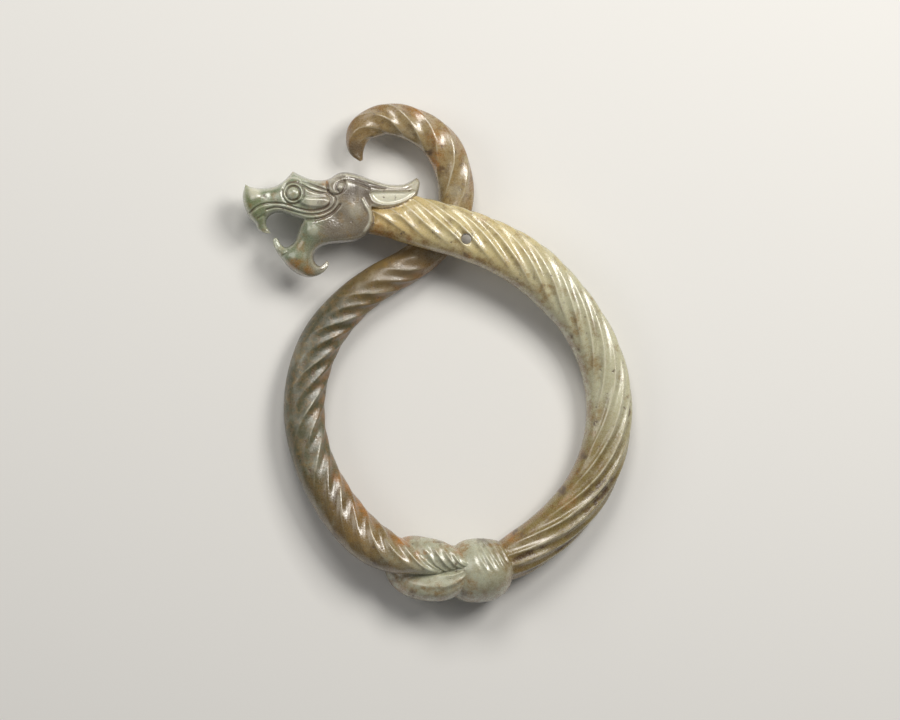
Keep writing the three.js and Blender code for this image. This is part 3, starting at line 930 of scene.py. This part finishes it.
def cleanUp(mesh):
    # The joins can leave two faces back to back with nothing between them, and both go
    shape = bmesh.new()
    shape.from_mesh(mesh)
    twins = {}
    for face in shape.faces:
        twins.setdefault(frozenset(corner.index for corner in face.verts), []).append(face)
    doubled = [face for faces in twins.values() if len(faces) > 1 for face in faces]
    bmesh.ops.delete(shape, geom=doubled, context="FACES")
    opened = sum(not edge.is_manifold for edge in shape.edges)
    shape.to_mesh(mesh)
    shape.free()
    print("faces taken out", len(doubled), "open edges", opened)


def neighbourMean(mesh, values, rounds):
    # Each round moves every value half way to the mean of its neighbours
    ends = np.zeros(len(mesh.edges) * 2, int)
    mesh.edges.foreach_get("vertices", ends)
    a, b = ends.reshape(-1, 2).T
    size = len(values)
    count = np.maximum(np.bincount(a, minlength=size) + np.bincount(b, minlength=size), 1)
    result = np.array(values, float).reshape(size, -1)
    for _ in range(rounds):
        sums = [np.bincount(a, column[b], size) + np.bincount(b, column[a], size) for column in result.T]
        result = (result + np.array(sums).T / count[:, None]) / 2
    return result.reshape(np.shape(values))


def copyValues(target, sources, labels):
    # Each point of the joined stone takes the values of the nearest point of the pieces
    points = np.concatenate([pointsOf(mesh) for mesh in sources])
    tree = KDTree(len(points))
    for i, p in enumerate(points):
        tree.insert(p, i)
    tree.balance()
    nearest = np.array([tree.find(p)[1] for p in pointsOf(target)])
    for label, missing in labels.items():
        numbers = np.concatenate([valuesOf(mesh, label, missing) for mesh in sources])
        storeValues(target, label, numbers[nearest])


hollows = {"wideRounds": 6, "softRounds": 2, "unit": 0.03}


def storeHollows(mesh):
    # How hollow (above 0) or raised (below 0) the surface is at each point
    points = pointsOf(mesh)
    normals = np.zeros(len(points) * 3)
    mesh.vertices.foreach_get("normal", normals)
    normals = normals.reshape(-1, 3)
    wide = neighbourMean(mesh, points, hollows["wideRounds"])
    lift = np.einsum("ij,ij->i", wide - points, normals)
    soft = neighbourMean(mesh, lift, hollows["softRounds"])
    storeValues(mesh, "hollow", soft / hollows["unit"])


# Finish

tones = {  # the stone's own colours; frost is also the colour of the painted highlights
    "beakGreen": (0.2, 0.245, 0.1),
    "snoutGreen": (0.21, 0.25, 0.155),
    "cheekGrey": (0.22, 0.19, 0.14),
    "jowlGrey": (0.24, 0.195, 0.135),
    "neckYellow": (0.6, 0.43, 0.18),
    "neckCream": (0.62, 0.52, 0.265),
    "celadon": (0.54, 0.52, 0.35),
    "oliveTan": (0.25, 0.19, 0.062),
    "knotPale": (0.47, 0.475, 0.345),
    "ochreGrey": (0.245, 0.175, 0.065),
    "tanBrown": (0.17, 0.105, 0.03),
    "mossGrey": (0.08, 0.077, 0.03),
    "darkMoss": (0.057, 0.054, 0.019),
    "umber": (0.23, 0.145, 0.045),
    "tailTan": (0.34, 0.25, 0.115),
    "tailOchre": (0.24, 0.15, 0.055),
    "rustBrown": (0.24, 0.105, 0.025),
    "rust": (0.42, 0.18, 0.028),
    "ochre": (0.27, 0.155, 0.035),
    "stain": (0.30, 0.185, 0.05),
    "bark": (0.085, 0.045, 0.015),
    # pale frost of the stone's clouds, also used for painted highlights
    "frostAndHighlight": (0.7, 0.68, 0.54),
    "dusk": (0.11, 0.085, 0.06),
}

toneStops = [
    (0.000, "beakGreen"), (0.025, "snoutGreen"), (0.060, "snoutGreen"), (0.085, "cheekGrey"),
    (0.132, "jowlGrey"), (0.145, "neckYellow"), (0.200, "neckCream"), (0.250, "neckCream"),
    (0.300, "celadon"), (0.390, "celadon"), (0.430, "oliveTan"), (0.490, "oliveTan"),
    (0.535, "ochreGrey"), (0.555, "knotPale"), (0.610, "knotPale"), (0.635, "ochreGrey"),
    (0.665, "tanBrown"), (0.710, "mossGrey"), (0.790, "darkMoss"), (0.850, "umber"),
    (0.890, "tailTan"), (0.950, "tailTan"), (1.000, "tailOchre"),
]


# Noises of the stone: share of the cloud or speck size, detail, roughness and where it is taken from
grains = {
    "Clouds": ("Cloud Size", 1.0, 4.0, 0.6, (0, 0, 0)),
    "Specks": ("Speck Size", 1.0, 2.0, 0.7, (0.1, 0, 0)),
    "Blotches": ("Cloud Size", 0.4, 5.0, 0.65, (0, 0.2, 0)),
    "Flecks": ("Cloud Size", 0.22, 3.0, 0.6, (0, 0, 0.3)),
}


def buildStoneMottle():
    # Clouds, fine specks and small pits for a polished stone. Sizes are in millimetres
    tree, start, end = openGroup("stoneMottle", "ShaderNodeTree", [
        ("Cloud Size", "NodeSocketFloat", 4.0),
        ("Speck Size", "NodeSocketFloat", 0.25),
    ], [(name, "NodeSocketFloat") for name in grains])
    place = addNode(tree, "ShaderNodeTexCoord").outputs["Object"]

    for name, (size, share, detail, roughness, offset) in grains.items():
        moved = addNode(tree, "ShaderNodeMapping", {"Vector": place, "Location": offset}).outputs[0]
        scale = calc(tree, "DIVIDE", 1 / mm, times(tree, start.outputs[size], share))
        inputs = {"Vector": moved, "Scale": scale, "Detail": detail, "Roughness": roughness}
        tree.links.new(addNode(tree, "ShaderNodeTexNoise", inputs).outputs[0], end.inputs[name])
    return tree


# Where each mask begins and ends, and between which two strengths it goes
masks = {
    "cloudFrost": (0.48, 0.75, 0.0, 0.22),
    "knotStart": (0.53, 0.55),
    "knotEnd": (0.615, 0.64, 1.0, 0.0),
    "stain": (0.50, 0.70, 0.0, 0.60),
    "grit": (0.47, 0.60),
    "gritAlong": (0.40, 0.46, 0.10, 0.50),
    # painted highlight on the head's raised relief
    "raisedHighlight": (0.3, 1.4, 0.0, 0.32),
    "crestBreaks": (0.36, 0.60, 0.25, 0.70),
    "crestInside": (0.55, 0.90, 1.0, 0.2),
    "groove": (0.1, 0.9),
    "grooveBreaks": (0.36, 0.55, 0.35, 1.0),
    "streak": (0.42, 0.56),
    "streakFlute": (0.30, 0.80),
    "streakBreaks": (0.41, 0.56),
    "innerEdge": (0.30, 0.95),
    "edgeBreaks": (0.42, 0.58),
    "rustBreaks": (0.34, 0.56, 0.25, 1.0),
    "rustFlecks": (0.36, 0.58, 0.35, 1.0),
    "ochreBreaks": (0.38, 0.60, 0.1, 1.0),
    "ochreFlecks": (0.36, 0.60, 0.35, 1.0),
    "flecks": (0.64, 0.72, 0.0, 0.80),
    "spots": (0.40, 0.54),
    "specks": (0.50, 0.80, 0.0, 0.30),
    "polish": (0.3, 0.75, 0.16, 0.42),
    "dullStart": (0.67, 0.72),
    "dullEnd": (0.84, 0.88, 1.0, 0.0),
}

jade = {
    "toneDrift": 0.05,  # how far the clouds move the colours along the stone
    "knotClean": 0.65,  # how much of the stain and grit the knot is spared
    "groove": 0.8,
    "streakLeast": 0.25,
    "streakMost": 0.9,
    "innerEdge": 0.5,
    "pitRoughness": 0.22,
    "dullRoughness": 0.10,
    "coat": 0.40,
    "headCoat": 0.55,
    "speckHeight": 0.6,
    "blotchHeight": 0.4,
    "pitDepth": 0.8,
}


def polishedJade():
    finish = bpy.data.materials.new("polishedJade")
    finish.use_nodes = True
    tree = finish.node_tree
    tree.nodes.clear()
    mottle = addNode(tree, "ShaderNodeGroup")
    mottle.node_tree = buildStoneMottle()
    clouds, specks, blotches, flecks = [mottle.outputs[name] for name in grains]

    def attribute(name):
        return addNode(tree, "ShaderNodeAttribute", attribute_name=name).outputs["Fac"]

    def mask(value, name):
        return ramped(tree, value, *masks[name])

    def without(value):
        return calc(tree, "SUBTRACT", 1.0, value)

    def plus(a, b):
        return calc(tree, "ADD", a, b)

    def mixed(factor, a, b):
        node = addNode(tree, "ShaderNodeMix", {"Factor": factor}, data_type="RGBA")
        feed(tree, a, node.inputs[6])
        feed(tree, (*b, 1), node.inputs[7])
        return node.outputs[2]

    along, inner, onHead = attribute("along"), attribute("inner"), attribute("relief")
    drift = times(tree, calc(tree, "SUBTRACT", clouds, 0.5), jade["toneDrift"])
    ramp = addNode(tree, "ShaderNodeValToRGB", {"Fac": plus(along, drift)})
    stops = ramp.color_ramp.elements
    for _ in range(len(toneStops) - 2):
        stops.new(0.5)
    for stop, (position, tone) in zip(stops, toneStops):
        stop.position = position
        stop.color = (*tones[tone], 1)

    hollow = attribute("hollow")
    knot = times(tree, mask(along, "knotStart"), mask(along, "knotEnd"))
    clean = without(times(tree, knot, jade["knotClean"]))
    # painted highlight along the flutes' ridges
    crest = times(tree, attribute("crest"), mask(blotches, "crestBreaks"), mask(inner, "crestInside"))
    # darker in the head's hollows and cut lines, by how hollow the surface is
    groove = times(tree, mask(hollow, "groove"), mask(blotches, "grooveBreaks"), onHead,
                   without(attribute("paintedHighlight")))
    streak = times(tree, mask(attribute("streak"), "streak"), mask(attribute("flute"), "streakFlute"),
                   mask(blotches, "streakBreaks"), plus(attribute("soil"), jade["streakLeast"]))
    spots = times(tree, attribute("spots"), mask(flecks, "spots"))
    pits = calc(tree, "MAXIMUM", mask(flecks, "flecks"), spots)
    layers = [
        (mask(clouds, "cloudFrost"), "frostAndHighlight"),
        (times(tree, mask(blotches, "stain"), clean), "stain"),
        (times(tree, mask(flecks, "grit"), mask(along, "gritAlong"), clean), "tanBrown"),
        (attribute("dusk"), "dusk"),
        # painted highlights: the ear's dish, the head's ridges and single patches
        (attribute("paintedHighlight"), "frostAndHighlight"),
        # painted highlight on the head's raised relief
        (times(tree, mask(times(tree, hollow, -1.0), "raisedHighlight"), onHead), "frostAndHighlight"),
        # painted highlight along the flutes' ridges
        (crest, "frostAndHighlight"),
        (times(tree, groove, jade["groove"]), "bark"),
        (calc(tree, "MINIMUM", streak, jade["streakMost"]), "bark"),
        (times(tree, mask(inner, "innerEdge"), mask(blotches, "edgeBreaks"), jade["innerEdge"]),
         "rustBrown"),
        (times(tree, attribute("rust"), mask(blotches, "rustBreaks"), mask(flecks, "rustFlecks")), "rust"),
        (times(tree, attribute("ochre"), mask(blotches, "ochreBreaks"), mask(flecks, "ochreFlecks")),
         "ochre"),
        (pits, "bark"),
        (mask(specks, "specks"), "bark"),
    ]
    colour = ramp.outputs[0]
    for factor, tone in layers:
        colour = mixed(factor, colour, tones[tone])

    dull = times(tree, mask(along, "dullStart"), mask(along, "dullEnd"))
    pitted = times(tree, calc(tree, "MAXIMUM", groove, pits), jade["pitRoughness"])
    roughness = plus(plus(mask(specks, "polish"), pitted), times(tree, dull, jade["dullRoughness"]))
    coat = times(tree, plus(times(tree, onHead, jade["headCoat"]), jade["coat"]), without(dull))
    height = plus(times(tree, specks, jade["speckHeight"]), times(tree, blotches, jade["blotchHeight"]))
    height = calc(tree, "SUBTRACT", height, times(tree, pits, jade["pitDepth"]))
    bump = addNode(tree, "ShaderNodeBump", {"Strength": 0.6, "Distance": 0.09 * mm, "Height": height})
    shader = addNode(tree, "ShaderNodeBsdfPrincipled", {
        "Base Color": colour,
        "Roughness": roughness,
        "Normal": bump.outputs[0],
        "IOR": 1.62,
        "Specular IOR Level": 0.85,
        "Coat Weight": coat,
        "Coat Roughness": 0.12,
        "Subsurface Weight": 0.20,
        "Subsurface Radius": (1.0, 0.8, 0.5),
        "Subsurface Scale": 0.7 * mm,
    })
    out = addNode(tree, "ShaderNodeOutputMaterial")
    tree.links.new(shader.outputs[0], out.inputs[0])
    return finish


# Patches of another colour, and patches of painted highlight: x, y (mm from the loop's centre), radius and
# strength
patches = {
    "rust": [
        (-26.2, 23.2, 1.3, 0.7),  # the chin
        (-25.2, 22.5, 1.5, 0.8),
        (-24.2, 21.9, 1.5, 0.8),
        (-23.2, 21.6, 1.2, 0.7),
        (-12.7, 28.2, 1.6, 0.9),  # behind the jowl, where the neck starts
        (-10.6, 27.4, 1.2, 0.8),
        (-7.6, 26.8, 1.0, 0.6),
        (1.9, 24.2, 0.8, 0.8),  # under the cord hole
        (4.0, 30.6, 1.4, 0.5),  # the outer edge above the cord hole
        (-8.8, -20.2, 2.0, 1.0),  # the knot's groove
        (-5.8, -22.6, 1.5, 0.8),
        (-14.5, -15.0, 3.2, 0.6),  # inside the left strand, above the knot
        (-18.0, -11.0, 2.6, 0.5),
        (-4.0, 39.2, 2.6, 0.9),  # inside the tail
        (-3.4, 43.0, 2.2, 0.6),
        (-6.5, 46.8, 1.6, 0.6),  # on top of the tail
        (-20.9, 35.8, 0.8, 0.7),  # the notch in front of the mane
        (0.4, -21.6, 1.8, 0.45),  # on the wrap
        (2.0, -27.8, 2.4, 0.30),
        (-8.5, -27.5, 3.6, 0.35),  # under the knot's lobe
        (17.6, -14.5, 1.8, 0.7),  # inside the lower right
        (8.4, -19.6, 1.8, 0.8),
    ],
    "ochre": [
        (-10.4, 27.6, 2.4, 0.5),  # the neck's start
        (-3.6, -28.6, 2.4, 0.7),
        (-24.0, 25.2, 3.0, 0.5),  # the lower jaw
        (-24.8, 22.4, 2.6, 0.8),
        (9.0, 23.0, 2.0, 0.5),  # the ring's inner edge
        (14.0, 19.0, 2.4, 0.7),
        (18.6, 13.6, 2.4, 0.7),
        (20.8, 7.0, 2.4, 0.6),
        (21.4, 0.0, 2.2, 0.6),
        (-4.5, 25.3, 2.6, 0.4),
        (3.0, 22.6, 2.6, 0.6),
        (-10.0, -25.8, 2.6, 0.9),  # the lobe's left and underside
        (-6.0, -28.9, 2.4, 0.8),
        (-8.4, -23.0, 2.0, 0.6),
        (-2.4, -20.9, 2.6, 0.9),  # over the pinch
        (0.6, -27.4, 2.2, 0.7),
        (1.4, -28.6, 2.4, 0.8),  # the wrap's lower left
        (1.0, -21.4, 1.6, 0.9),
        (6.0, -20.6, 2.6, 0.8),  # the wrap's top
        (-14.8, -19.0, 3.0, 0.6),
        (-11.4, -16.4, 2.4, 0.6),
        (9.6, -25.6, 1.8, 0.6),
    ],
    "spots": [
        (21.6, -2.1, 0.8, 0.9),  # the ring's inner edge
        (19.9, -7.4, 1.0, 0.8),
        (16.4, -12.6, 1.2, 0.9),
        (9.3, -19.4, 1.3, 0.9),
        (17.8, 11.6, 0.5, 0.9),
        (19.0, 9.4, 0.5, 0.9),
        (12.0, 20.9, 0.4, 0.8),
        (-19.4, -19.9, 1.4, 0.7),  # outside the left strand
        (-13.6, -24.4, 1.4, 0.8),
        (-7.1, -29.0, 1.0, 0.8),  # under the lobe
        (-10.4, -26.9, 1.0, 0.6),
        (1.0, -29.0, 0.9, 0.6),  # the wrap
        (3.6, -20.4, 1.1, 0.8),
        (6.4, -20.6, 0.8, 0.7),
        (-3.0, -21.0, 0.8, 0.6),
        (-4.6, 40.6, 1.2, 0.9),  # inside the tail
        (-2.6, 38.0, 1.0, 0.7),
        (-8.6, 28.0, 0.5, 0.7),  # the neck's start
        (-6.6, 28.9, 0.4, 0.9),
        (1.2, 24.4, 0.5, 0.8),
    ],
    "soil": [
        (24.5, -14.0, 6.0, 1.0),  # outside the lower right
        (19.0, -21.5, 6.0, 1.0),
        (12.0, -24.0, 5.0, 1.0),
        (27.0, 2.0, 5.0, 0.5),
        (-20.0, -14.0, 6.0, 0.6),
        (-12.0, -20.0, 6.0, 0.8),
        (-8.0, -27.5, 4.0, 0.8),
        (-2.0, 40.0, 5.0, 0.6),
    ],
    # painted highlights
    "paintedHighlight": [
        (-6.6, 35.4, 1.4, 0.6),  # the ear's tip
        (-32.1, 34.3, 1.5, 0.75),  # along the snout
        (-16.1, 31.3, 1.6, 0.25),  # the jowl
        (-27.0, 34.0, 2.0, 0.25),
        (-22.8, 33.0, 1.7, 0.50),  # the cheek
        (-0.4, 34.6, 1.6, 0.30),  # the tail's foot
        (1.6, 39.4, 1.4, 0.25),
        (-22.8, 28.3, 1.3, 0.35),  # the jaw's root
        (-17.6, 35.6, 1.2, 0.30),  # the curl's edge
    ],
    "dusk": [
        (-17.0, 35.2, 3.0, 0.8),  # the mane
        (-14.0, 34.8, 2.8, 0.8),
        (-16.2, 41.2, 2.2, 0.6),  # the tail's tip
        (-19.8, 31.6, 1.8, 0.5),
        (-8.0, 21.0, 5.0, 0.4),  # under the crossing
        (-19.5, 29.0, 2.0, 0.35),
        (24.5, -13.0, 3.0, 0.35),  # outside the lower right
        (19.5, -20.0, 3.0, 0.35),
        (4.6, -20.4, 1.6, 0.5),  # on top of the wrap
        (-12.0, -24.8, 3.0, 0.4),  # outside the left strand, above the knot
    ],
}


def paintPatches(mesh):
    plateau = 1.6  # above 1, so that a patch has its full strength all over its middle
    points = pointsOf(mesh)
    for name, places in patches.items():
        strongest = valuesOf(mesh, name)
        for x, y, radius, strength in places:
            gap = np.hypot(points[:, 0] - x, points[:, 1] - y) / radius
            fade = np.clip(plateau * (1 - smoothEdge(gap, 1.0)), 0, 1)
            strongest = np.maximum(strongest, strength * fade)
        storeValues(mesh, name, strongest)


def buildDragon():
    finish = polishedJade()
    tree = buildRopeTree()
    wanted = {"neckRope": neckRope, "tailRope": tailRope, "turnRope": turnRope, "wrapRope": wrapRope}
    ropes = [makeRope(name, rope, finish, tree) for name, rope in wanted.items()]
    cutBackNeck(ropes[0].data)
    places = enumerate(knotCores["places"])
    cores = [makeCore(f"core{i}", place, finish) for i, place in places]
    pieces = [*ropes, makeHead("head", finish), *cores]
    sources = [piece.data for piece in pieces]
    dragon = newObject("jadeDragonCarving", pieces[0].data.copy())
    carve(dragon, "UNION", pieces[1:])
    holeMaker = makeDrill("drill")
    carve(dragon, "DIFFERENCE", [holeMaker])
    mesh = dragon.data
    print("joined", len(mesh.vertices), "points")
    cleanUp(mesh)
    labels = ("along", "flute", "crest", "streak", "paintedHighlight", "dusk", "relief")
    copyValues(mesh, sources, {"inner": -1.0, **dict.fromkeys(labels, 0.0)})
    paintPatches(mesh)
    storeHollows(mesh)
    for piece in [*pieces, holeMaker]:
        bpy.data.objects.remove(piece)

    # Ground flat behind, then moved to the middle of the frame
    points = pointsOf(mesh)
    points[:, 2] = np.maximum(points[:, 2], 0)
    middle = np.array(stone["middle"]) * loopRadius
    points[:, :2] -= middle
    points *= mm
    points[:, 0] += (cadLow.x + cadHigh.x) / 2
    points[:, 1] += (cadLow.y + cadHigh.y) / 2
    points[:, 2] += cadLow.z
    mesh.vertices.foreach_set("co", points.ravel())
    mesh.update()
    mesh.materials.clear()
    mesh.materials.append(finish)
    mesh.polygons.foreach_set("material_index", np.zeros(len(mesh.polygons), int))
    mesh.polygons.foreach_set("use_smooth", np.ones(len(mesh.polygons), bool))
    mesh.update()
    return dragon


# Floor, light and camera

studio = {
    "pixel": 0.158 * mm,  # size of one pixel of the picture on the pendant
    "pictureWidth": 900,
    "lens": 200,
    "lookAt": (2.05 * mm, -1.58 * mm, 5 * mm),
    "floorSize": 4.0,
    "floorColour": (0.80, 0.79, 0.77),
    "skyColour": (0.97, 0.98, 1.0),
    "lampColour": (1.0, 0.975, 0.925),
    "skyStrength": 0.13,
}

lamps = {  # place in metres from the pendant, size and power
    "keyFromRight": ((0.22, 0.17, 0.34), 0.16, 1.15),
    "softFromTop": ((-0.02, 0.28, 0.34), 0.16, 0.75),
    "fillFromLeft": ((-0.30, 0.10, 0.26), 0.20, 0.25),
}


def buildStudio():
    floorMesh = plainMesh("floor", [(-1, -1, 0), (1, -1, 0), (1, 1, 0), (-1, 1, 0)], [(0, 1, 2, 3)])
    floorMesh.transform(Matrix.Scale(studio["floorSize"] / 2, 4))
    paint = bpy.data.materials.new("paleFloor")
    paint.use_nodes = True
    shader = paint.node_tree.nodes["Principled BSDF"]
    shader.inputs["Base Color"].default_value = (*studio["floorColour"], 1)
    shader.inputs["Roughness"].default_value = 0.9
    floorMesh.materials.append(paint)
    floor = newObject("floor", floorMesh)

    for name, (place, size, power) in lamps.items():
        light = bpy.data.lights.new(name, "AREA")
        light.shape = "SQUARE"
        light.size = size
        light.energy = power
        light.color = studio["lampColour"]
        lamp = bpy.data.objects.new(name, light)
        bpy.context.scene.collection.objects.link(lamp)
        lamp.location = place
        lamp.rotation_euler = Vector(place).to_track_quat("Z", "Y").to_euler()

    world = bpy.data.worlds.new("studioSky")
    world.use_nodes = True
    sky = world.node_tree.nodes["Background"]
    sky.inputs["Color"].default_value = (*studio["skyColour"], 1)
    sky.inputs["Strength"].default_value = studio["skyStrength"]
    bpy.context.scene.world = world

    bpy.context.scene.view_settings.view_transform = "Standard"
    camera = bpy.data.cameras.new("camera")
    camera.lens = studio["lens"]
    camera.sensor_width = 36
    seenWidth = studio["pixel"] * studio["pictureWidth"]
    distance = seenWidth * camera.lens / camera.sensor_width
    viewer = bpy.data.objects.new("camera", camera)
    bpy.context.scene.collection.objects.link(viewer)
    viewer.location = Vector(studio["lookAt"]) + Vector((0, 0, distance))
    bpy.context.scene.camera = viewer
    print("studio ready")


dragon = buildDragon()
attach(dragon, "root")
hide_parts("jade_dragon")
buildStudio()

print("triangles", sum(len(face.vertices) - 2 for face in dragon.data.polygons))
